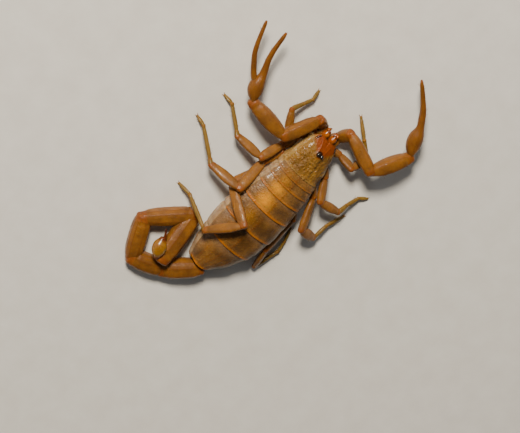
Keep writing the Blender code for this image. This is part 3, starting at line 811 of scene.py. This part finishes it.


# The back plates: thin closed shells whose orange rear rims lap over the next plate. Each plate has its own
# share of painted glow (a painted pool of golden light on her lit left side), of dark mottle that is partly
# painted shade, and of rim colour, from the front plate to the rear one.

tergiteLook = {
    "edge": 20, "cells": (84, 64), "thick": 0.12, "frontDrop": 0.14, "rearLift": 0.07, "bow": 0.28,
    "lastBow": 0.5, "lapRear": 0.16, "lapFront": 0.25, "lastInset": 0.02, "rimLift": 0.01, "rimGroove": 0.02,
    "crest": 0.08, "crestWidth": 0.035, "lastKeels": (-0.55, -0.27, 0.27, 0.55), "lastKeel": 0.05,
    "keelWidth": 0.04, "sideShare": 0.02, "beadsPerMm": 3, "rimMm": 0.25, "grain": 0.008, "fineGrain": 0.0048,
    # glow shares are of a painted golden pool of light; mottleAndShade shares are of dark mottle that is
    # partly painted shade
    "glow": (0.2, 0.4, 0.8, 0.9, 0.2, 0.08, 0.1), "paintedGlowAcross": (0.34, 0.26), "paintedGlowAlong": (0.55, 0.4),
    "mottleAndShade": (0.15, 0.35, 0.25, 0.35, 0.9, 1.0, 0.35), "mottleAndShadeAcross": (0, 0.5), "mottleAndShadeAlong": (0.5, 0.4),
    "hazeFront": 0.7, "hazeSides": 0.4, "rim": (0.35, 0.45, 0.6, 0.9, 0.9, 1.0, 1.0)}
plateTrip = {"topTo": 0.62, "rimTo": 0.70}      # shares of the way round, from the front edge


def plateLoop(share):
    # one trip round a plate's thickness: back along the top, over the rear rim, forward underneath
    topTo, rimTo = plateTrip["topTo"], plateTrip["rimTo"]
    forward = np.clip((1 - share) / (1 - rimTo), 0, 1)
    place = np.where(share < topTo, share / topTo, np.where(share < rimTo, 1, forward))
    return place, ease(share, topTo, rimTo)


def plateEdge(across, sideShare):               # the plate's thickness fades out towards its two sides
    return np.sqrt(np.clip(np.minimum(across, 1 - across) / sideShare, 0, 1))


def buildTergite(number):
    look = tergiteLook
    name = f"tergite_{number}"
    last = number == 7
    front, rear = boxOf(name)[:, 1] + (-look["lapFront"], -look["lastInset"] if last else look["lapRear"])
    paintedGlowShare, mottleAndShadeShare, rimShare = (look[tint][number - 1] for tint in ("glow", "mottleAndShade", "rim"))

    def surface(across, turn):
        place, under = plateLoop(turn / 360)
        angle = look["edge"] + (180 - 2 * look["edge"]) * across
        sideways = np.cos(np.radians(angle))
        bow = -look["lastBow"] * sideways ** 2 if last else look["bow"] * (1 - sideways ** 2)
        station = front + (rear - front - look["bow"] * 0.5) * place + bow * place
        rim = bell(place, 1.0, 0.10)
        lift = -look["frontDrop"] + (look["frontDrop"] + look["rearLift"]) * ease(place, 0, 0.75)
        lift = lift + look["rimLift"] * rim - look["rimGroove"] * bell(place, 0.86, 0.07)
        bead = 0.6 + 0.4 * np.cos(station * fullTurn * look["beadsPerMm"])
        keel = bell(sideways, 0, look["crestWidth"]) * ease(place, 0.15, 0.5) * (1 - ease(place, 0.93, 1.0))
        lift = lift + look["crest"] * keel * bead
        for spot in look["lastKeels"] if last else ():
            ridge = bell(sideways, spot, look["keelWidth"]) * ease(place, 0.25, 0.45)
            ridge = ridge * (1 - ease(place, 0.9, 1.0))
            lift = lift + look["lastKeel"] * ridge * bead
            keel = np.maximum(keel, ridge)
        flat = bodyPoint(station, angle)
        grain = ripple(flat, 0.55, number) * look["grain"]
        grain = grain + ripple(flat, 0.25, number + 9) * look["fineGrain"]
        lift = lift + grain * (1 - rim) - look["thick"] * under * plateEdge(across, look["sideShare"])
        points = bodyPoint(station, angle, lift)
        rimPaint = rimShare * bell(place, 1.0, look["rimMm"] / max(rear - front, 1)) * (1 - 0.5 * under)
        rimPaint = rimPaint * (0.78 + 0.22 * ripple(points, 0.9, number + 30))
        # painted glow: a golden pool of light painted on her left, lit side of the front plates, standing in
        # for light shining through them
        glow = paintedGlowShare * bell(sideways, *look["paintedGlowAcross"]) * bell(place, *look["paintedGlowAlong"])
        haze = look["hazeFront"] * (1 - ease(place, 0.05, 0.4))
        haze = haze + look["hazeSides"] * ease(np.abs(sideways), 0.6, 0.92)
        # dark mottle along the middle of each plate: partly the plates' own mottling, partly painted shade,
        # strongest on the fifth and sixth plates
        drift = ripple(np.stack([station, sideways * 4, station * 0], axis=1), 2.2, 70 + number)
        cloud = ease(drift, -0.5, 0.5)
        mottleAndShade = mottleAndShadeShare * (0.5 + 0.5 * cloud) * bell(place, *look["mottleAndShadeAlong"])
        mottleAndShade = mottleAndShade * bell(sideways, *look["mottleAndShadeAcross"])
        return points, {"keel": keel * (1 - under), "joint": rimPaint, "tone": glow,
                        "haze": np.minimum(haze, 1), "mottleAndShade": mottleAndShade}

    bm = newBuild()
    rollGrid(bm, *look["cells"], surface)
    finishPiece(f"{name}_plate", bm, backCuticle, [name])


for number in range(1, 8):
    buildTergite(number)
print("back plates made")


# The head shield: furrowed and beaded, with the eye mound, the side eyes and the front notch. Places on it
# are millimetres sideways from the eye mound and behind it. A pair is a middle and a half width, or where a
# change starts and ends.

shieldLook = {
    "edge": 4, "cells": (120, 110), "thick": 0.14, "sideShare": 0.015, "lapRear": 0.1, "notch": 0.15,
    "corner": 0.6, "bow": 0.12, "sink": 0.03, "rearLift": 0.1, "rearGroove": 0.05, "grain": 0.016,
    "fineGrain": 0.014,
    "mound": 0.17, "moundAcross": (0, 0.62), "moundAlong": (0.1, 0.95),
    "furrow": 0.1, "furrowAcross": (0, 0.13), "furrowAhead": (0.55, 1.3), "furrowBehind": (0.9, 1.8),
    "saddle": 0.02,
    "brow": 0.05, "browOut": 0.42, "browFlare": 0.14, "browWidth": 0.16, "browFrom": (-2.2, -1.0),
    "browTo": (0.3, 1.2),
    "sideFurrow": 0.09, "sideOut": 0.9, "sideFlare": 0.25, "sideWidth": 0.2, "sideFrom": (0.2, 1.2),
    "sideTo": (2.8, 3.6),
    "dimple": 0.1, "dimpleAcross": (1.7, 0.7), "dimpleAlong": (1.7, 0.25),
    "rearRidge": 0.05, "ridgeAcross": (0.75, 0.16), "ridgeFrom": (1.9, 2.5),
    "glow": 0.9, "redFade": (0.1, 0.9), "eyeBlackAt": (0.1, -0.04), "eyeBlackFade": (0.34, 0.52),
    "slitAlong": (-1.48, 0.28), "slitOut": 0.79, "slitLean": 0.19, "slitWidth": 0.05,
    # each side eye's place behind the front edge, degrees from the top, and radius
    "sideEyes": ((0.28, 48, 0.13), (0.52, 52, 0.12), (0.76, 56, 0.1)), "sideEyeSink": 0.03,
}
eyeSpots = {side: boxOf(f"median_eye_{side}").mean(axis=0) for side in sides}
eyeMiddle = (eyeSpots["left"] + eyeSpots["right"]) / 2


def shieldRelief(x, y):                         # how far the shield stands up at a place
    look = shieldLook
    rise = look["mound"] * bell(x, *look["moundAcross"]) * bell(y, *look["moundAlong"])
    furrow = look["furrow"] * (ease(-y, *look["furrowAhead"]) + ease(y, *look["furrowBehind"]))
    rise = rise - bell(x, *look["furrowAcross"]) * (furrow - look["saddle"])
    for out in (-x, x):
        brow = bell(out, look["browOut"] + look["browFlare"] * np.clip(y, -2, 0.5) ** 2, look["browWidth"])
        brow = brow * ease(y, *look["browFrom"]) * (1 - ease(y, *look["browTo"]))
        furrow = bell(out, look["sideOut"] + look["sideFlare"] * np.clip(y - 1, 0, 3), look["sideWidth"])
        furrow = furrow * ease(y, *look["sideFrom"]) * (1 - ease(y, *look["sideTo"]))
        dimple = bell(out, *look["dimpleAcross"]) * bell(y, *look["dimpleAlong"])
        ridge = bell(out, *look["ridgeAcross"]) * ease(y, *look["ridgeFrom"])
        rise = rise + look["brow"] * brow - look["sideFurrow"] * furrow
        rise = rise - look["dimple"] * dimple + look["rearRidge"] * ridge
    return rise


def shieldSurface(across, turn):
    look = shieldLook
    place, under = plateLoop(turn / 360)
    angle = look["edge"] + (180 - 2 * look["edge"]) * across
    sideways = np.cos(np.radians(angle))
    nearFront = (1 - place) ** 2
    station = bodyFront + (plateEnds[0] + look["lapRear"] - bodyFront) * place
    station = station + look["notch"] * bell(sideways, 0, 0.28) * nearFront
    station = station + look["corner"] * np.abs(sideways) ** 6 * nearFront
    station = station + look["bow"] * (1 - sideways ** 2) * place
    flat = bodyPoint(station, angle)
    x = flat[:, 0] - eyeMiddle[0]
    y = station - eyeMiddle[1]
    lift = shieldRelief(x, y) - look["sink"] + look["rearLift"] * ease(place, 0.8, 1.0)
    lift = lift - look["rearGroove"] * bell(place, 0.93, 0.04)
    rim = np.maximum(bell(place, 0, 0.03), bell(place, 1, 0.03))
    grain = ripple(flat, 0.5, 41) * look["grain"] + ripple(flat, 0.24, 42) * look["fineGrain"]
    lift = lift + grain * (1 - rim) * (0.35 + 0.65 * ease(y, -0.8, 0.6))
    lift = lift - look["thick"] * under * plateEdge(across, look["sideShare"])
    redFront = 1 - ease(y + 0.9 * np.abs(x), *look["redFade"])
    blackX, blackY = look["eyeBlackAt"]
    eyePatch = 1 - ease(np.hypot(x - blackX, y - blackY), *look["eyeBlackFade"])
    slitMiddle = look["slitOut"] + look["slitLean"] * (y - look["slitAlong"][0])
    sideEyeSlit = bell(y, *look["slitAlong"]) * bell(np.abs(sideways), slitMiddle, look["slitWidth"])
    margin = np.maximum(bell(place, 1, 0.02), bell(np.abs(sideways), 0.93, 0.03))
    tints = {"keel": np.maximum(eyePatch, sideEyeSlit), "joint": margin, "tone": redFront * look["glow"]}
    return bodyPoint(station, angle, lift), tints


def buildShield():
    bm = newBuild()
    rollGrid(bm, *shieldLook["cells"], shieldSurface)
    finishPiece("carapace_shield", bm, shieldCuticle, ["carapace"])
    for side in sides:
        bm = newBuild()
        radius = np.ptp(boxOf(f"median_eye_{side}"), axis=0).max() / 2 * mm
        ball = bmesh.ops.create_uvsphere(bm, u_segments=32, v_segments=20, radius=radius)
        moveBall(bm, ball, eyeSpots[side])
        finishPiece(f"median_eye_{side}_lens", bm, eyeLens, [f"median_eye_{side}"])
    bm = newBuild()
    for way in (-1, 1):
        for behindFront, lean, radius in shieldLook["sideEyes"]:
            station, angle = np.array([[bodyFront + behindFront], [90.0 - way * lean]])
            spot = bodyPoint(station, angle, -shieldLook["sideEyeSink"])[0]
            ball = bmesh.ops.create_uvsphere(bm, u_segments=18, v_segments=12, radius=radius * mm)
            moveBall(bm, ball, spot)
    finishPiece("side_eyes", bm, eyeLens)


buildShield()
print("head shield made")


# The jaws in front of the shield: a swollen hand with a hooked fixed and a hooked moving finger. Shares are
# of half the solid's box.

jawLook = {"profile": ((0, .8, .8), (.3, 1, 1), (.7, 1.02, 1.0), (1, .8, .8)), "reach": (.3, .6),
           "cells": (60, 36), "squareness": 2.2, "rim": 0, "seed": 91, "redStart": .02, "redEnd": .02,
           "girth": (0.92, 0.94), "rootInside": 0.1, "rootDrop": 0.1, "wristAt": 0.75, "wristLift": 0.02,
           "fingers": ((0.34, 0.0), (-0.12, -0.25))}
jawFingerLook = {"profile": ((0, 1, 1), (.6, .75, .75), (1, .35, .35)), "reach": (.6, .5), "cells": (40, 20),
                 "rim": 0, "redStart": .01, "redEnd": .6, "sizes": (0.2, 0.2), "baseAhead": 0.05,
                 "hook": 0.25, "arch": (-0.06, 0.1), "tipInside": 0.08, "tipInwards": 0.25,
                 "tipSpread": 0.8, "tipDrop": 0.25}


def buildJaw(side):
    name = f"chelicera_{side}"
    low, high = boxOf(name)
    middle = (low + high) / 2
    half = (high - low) / 2
    way = 1 if side == "left" else -1
    bm = newBuild()
    root = np.array([middle[0], high[1] - jawLook["rootInside"], middle[2] - jawLook["rootDrop"]])
    wrist = np.array([middle[0], low[1] + half[1] * jawLook["wristAt"], middle[2] + jawLook["wristLift"]])
    tall, wide = jawLook["girth"]
    limbShell(bm, [root, wrist], up, (half[2] * tall, half[0] * wide), jawLook)
    look = jawFingerLook
    for spread, drop in jawLook["fingers"]:
        base = wrist + np.array([way * spread * half[0], -look["baseAhead"], drop * half[2]])
        inwards = way * (look["tipInwards"] - spread * look["tipSpread"])
        tip = np.array([middle[0] - inwards * half[0], low[1] + look["tipInside"],
                        middle[2] + (drop - look["tipDrop"]) * half[2]])
        bend = (base + tip) / 2 + np.array([way * look["hook"] * half[0], *look["arch"]])
        limbShell(bm, smoothPath([base, bend, tip]), up, look["sizes"], look)
    finishPiece(f"{name}_shell", bm, jawCuticle, [name])


for side in sides:
    buildJaw(side)


# The hips under the head shield, which carry the legs and the pincers. Roots are millimetres from the middle,
# from the limb's own joint, and above the belly.

hipLook = {"profile": ((0, .6, .7), (.2, .9, .95), (.6, 1, 1), (.9, 1, 1), (1, .85, .85)), "reach": (.6, .5),
           "cells": (60, 40), "squareness": 2.6, "rim": 0.04, "redEnd": .16, "tone": 0.15,
           "keels": ((60, .05, .08, 3.0), (120, .05, .08, 3.0)), "legRoot": (0.5, 0.9, 0.85), "legStep": 0.5,
           "legSizes": (0.72, 0.66), "outwards": 0.1, "armRoot": (0.7, 2.2, 1.1), "armSizes": (0.8, 0.8)}


def buildHips():
    bm = newBuild()
    low, high = boxOf("coxosternum")
    middle = (low[0] + high[0]) / 2
    rootSide, rootBack, rootHeight = hipLook["legRoot"]
    for name, joints in legJoints.items():
        way = 1 if "left" in name else -1
        number = int(name[-1])
        rear = joints[0][1] - hipLook["legStep"] * (4 - number) + rootBack
        root = np.array([middle + way * rootSide, min(rear, high[1] - 0.5), low[2] + rootHeight])
        hip = joints[0] + unit(joints[0] - root) * hipLook["outwards"]
        hinge = unit(np.cross(unit(hip - root), up))
        limbShell(bm, [root, hip], hinge, hipLook["legSizes"], dict(hipLook, seed=number))
    rootSide, rootBack, rootHeight = hipLook["armRoot"]
    for side, joints in armJoints.items():
        way = 1 if side == "left" else -1
        root = np.array([middle + way * rootSide, joints[0][1] + rootBack, low[2] + rootHeight])
        limbShell(bm, [root, joints[0]], up, hipLook["armSizes"], dict(hipLook, seed=8))
    finishPiece("hips", bm, amberCuticle, ["coxosternum"])


buildHips()
for side in sides:                              # the combs are plain plates, so the solids themselves show
    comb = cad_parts[f"pectine_{side}"]
    comb.data.materials.clear()
    comb.data.materials.append(strawCuticle)
print("jaws and hips made")


# The bristles: fine cones that lean towards each limb's end, rooted in the shells

bristleLook = {"perMm": 4.2, "lengthMm": (0.22, 0.55), "rootMm": 0.02, "tipShare": 0.25, "sunkMm": 0.03,
               "lean": 0.9, "scatter": 0.15, "run": (0.16, 0.88), "clearOfGround": 0.25, "leastOnOne": 4,
               "bakePatch": 0.003, "tiles": 9}
# Bristle horn: stiff brown hair with a plain soft gloss
setaPaint = dict(amberPaint, base="#7A5010", deep="#5A360A", beadStrength=0.0, wrinkleStrength=0.0, rough=0.3,
                 coat=0.0)
setaHorn = cuticle("bristle_horn", setaPaint)


def addBristle(bm, bake, root, way, long, corner):
    turn = Vector((0, 0, 1)).rotation_difference(Vector(way)).to_matrix().to_4x4()
    middle = Vector(root + way * (long / 2 - bristleLook["sunkMm"])) * mm
    radius = bristleLook["rootMm"] * mm
    verts = bmesh.ops.create_cone(bm, cap_ends=True, segments=4, radius1=radius,
                                  radius2=radius * bristleLook["tipShare"], depth=long * mm)["verts"]
    bmesh.ops.transform(bm, matrix=Matrix.Translation(middle) @ turn, verts=verts)
    patch = bristleLook["bakePatch"]
    for face in {face for vert in verts for face in vert.link_faces}:
        for number, loop in enumerate(face.loops):
            loop[bake].uv = (corner[0] + patch * (number % 2), corner[1] + patch * (number // 2 % 2))


def buildBristles():
    bm = newBuild()
    bake = bm.loops.layers.uv.new("OFBake")
    tiles = bristleLook["tiles"]
    for bed, (surface, length, density) in enumerate(bristleBeds):
        count = max(bristleLook["leastOnOne"], int(length * density * bristleLook["perMm"]))
        share = dice.uniform(*bristleLook["run"], count)
        angle = dice.uniform(0, 360, count)
        root = surface(share, angle)[0]
        ahead = unit(surface(share + 0.01, angle)[0] - root)
        around = unit(surface(share, angle + 3)[0] - root)
        outward = unit(np.cross(ahead, around))
        middle = surface(share, angle + 180)[0]
        outward = outward * np.sign(((root - middle) * outward).sum(axis=1))[:, None]
        way = unit(outward + ahead * bristleLook["lean"] + dice.normal(0, bristleLook["scatter"], (count, 3)))
        long = dice.uniform(*bristleLook["lengthMm"], count)
        tip = root + way * long[:, None]
        lowest = np.minimum(root[:, 2], tip[:, 2])
        fits = (lowest >= bristleLook["clearOfGround"]) & ((tip >= boxLow) & (tip <= boxHigh)).all(axis=1)
        for spot in np.flatnonzero(fits):
            corner = ((bed % tiles + angle[spot] / 360) / tiles, (bed // tiles + share[spot]) / tiles)
            addBristle(bm, bake, root[spot], way[spot], long[spot], corner)
    piece = finishPiece("bristles", bm, setaHorn)
    print("bristles made:", len(piece.data.polygons), "faces")


buildBristles()


# The stage: a pale floor, soft studio lights and the camera. The middle of the view is measured from between
# the eyes, in millimetres, and the rest is in metres.

viewLook = {"towards": (0.439, -0.193, 0.878), "right": (-0.675, -0.716, 0.180),
            "above": (0.593, -0.671, -0.444), "aimFromEyes": (-1.76, 11.64), "aimHeight": 2.0,
            "distance": 0.3, "viewWidth": 0.0671, "sensor": 36, "clip": (0.01, 20),
            "keyRise": 20, "airColour": "#DADADA", "airStrength": 0.12}
lightLook = {
    "key_light": {"distance": 0.4, "size": 0.08, "power": 2.7, "colour": "#FFF4E2"},
    "side_light": {"distance": 0.45, "size": 0.3, "power": 0.16, "colour": "#F6F6FF"},
    "back_light": {"distance": 0.45, "size": 0.2, "power": 0.2, "colour": "#FFFFFF"},
}
floorLook = {"half": 0.9, "base": "#E2E0DA", "mottle": "#DBD8D1", "mottleMm": 3.0, "rough": 0.8}


def aimed(data, name, place, target, above):    # turns a light or camera to a target, upright to a direction
    thing = bpy.data.objects.new(name, data)
    bpy.context.scene.collection.objects.link(thing)
    back = Vector(unit(np.array(place) - np.array(target)))
    right = Vector(above).cross(back).normalized()
    turn = Matrix((right, back.cross(right), back)).transposed().to_4x4()
    thing.matrix_world = Matrix.Translation(Vector(place)) @ turn
    return thing


def areaLight(name, direction, target):
    look = lightLook[name]
    light = bpy.data.lights.new(name, "AREA")
    light.shape = "DISK"
    light.size = look["size"]
    light.energy = look["power"]
    light.color = linearColour(look["colour"])[:3]
    aimed(light, name, target + unit(direction) * look["distance"], target, up)


def buildFloor():
    # matt painted board: one flat pale tone with the faintest mottle, so that only shadows mark it
    material, tree = newMaterial("pale_floor")
    place = addNode(tree, "TexCoord").outputs["Object"]
    noise = addNode(tree, "TexNoise", {"Vector": place, "Scale": 1 / (floorLook["mottleMm"] * mm),
                                       "Detail": 3.0, "Roughness": 0.55})
    mottle = addNode(tree, "MapRange", {"Value": noise.outputs["Fac"], "From Min": 0.3, "From Max": 0.7})
    colour = addNode(tree, "Mix", {0: mottle.outputs["Result"], 6: linearColour(floorLook["base"]),
                                   7: linearColour(floorLook["mottle"])}, data_type="RGBA")
    shader = addNode(tree, "BsdfPrincipled", {"Base Color": colour.outputs[2],
                                              "Roughness": floorLook["rough"]})
    addNode(tree, "OutputMaterial", {"Surface": shader.outputs["BSDF"]})
    bm = bmesh.new()
    bmesh.ops.create_grid(bm, x_segments=8, y_segments=8, size=floorLook["half"])
    mesh = bpy.data.meshes.new("floor")
    bm.to_mesh(mesh)
    bm.free()
    mesh.materials.append(material)
    floor = bpy.data.objects.new("floor", mesh)
    bpy.context.scene.collection.objects.link(floor)


def buildStage():
    towards, right, above = (unit(np.array(viewLook[key])) for key in ("towards", "right", "above"))
    target = np.array([*(eyeMiddle[:2] + viewLook["aimFromEyes"]), viewLook["aimHeight"]]) * mm
    camera = bpy.data.cameras.new("camera")
    camera.sensor_width = viewLook["sensor"]
    camera.lens = viewLook["sensor"] * viewLook["distance"] / viewLook["viewWidth"]
    camera.clip_start, camera.clip_end = viewLook["clip"]
    bpy.context.scene.camera = aimed(camera, "camera", target + towards * viewLook["distance"], target, above)
    keyRise = math.radians(viewLook["keyRise"])
    areaLight("key_light", towards * math.cos(keyRise) + above * math.sin(keyRise), target)
    areaLight("side_light", towards - right * 1.2, target)
    areaLight("back_light", up + above * 1.2 + right, target)
    world = bpy.data.worlds.new("studio")
    world.use_nodes = True
    air = world.node_tree.nodes["Background"]
    air.inputs["Color"].default_value = linearColour(viewLook["airColour"])
    air.inputs["Strength"].default_value = viewLook["airStrength"]
    bpy.context.scene.world = world


buildStage()
buildFloor()
print("stage made")
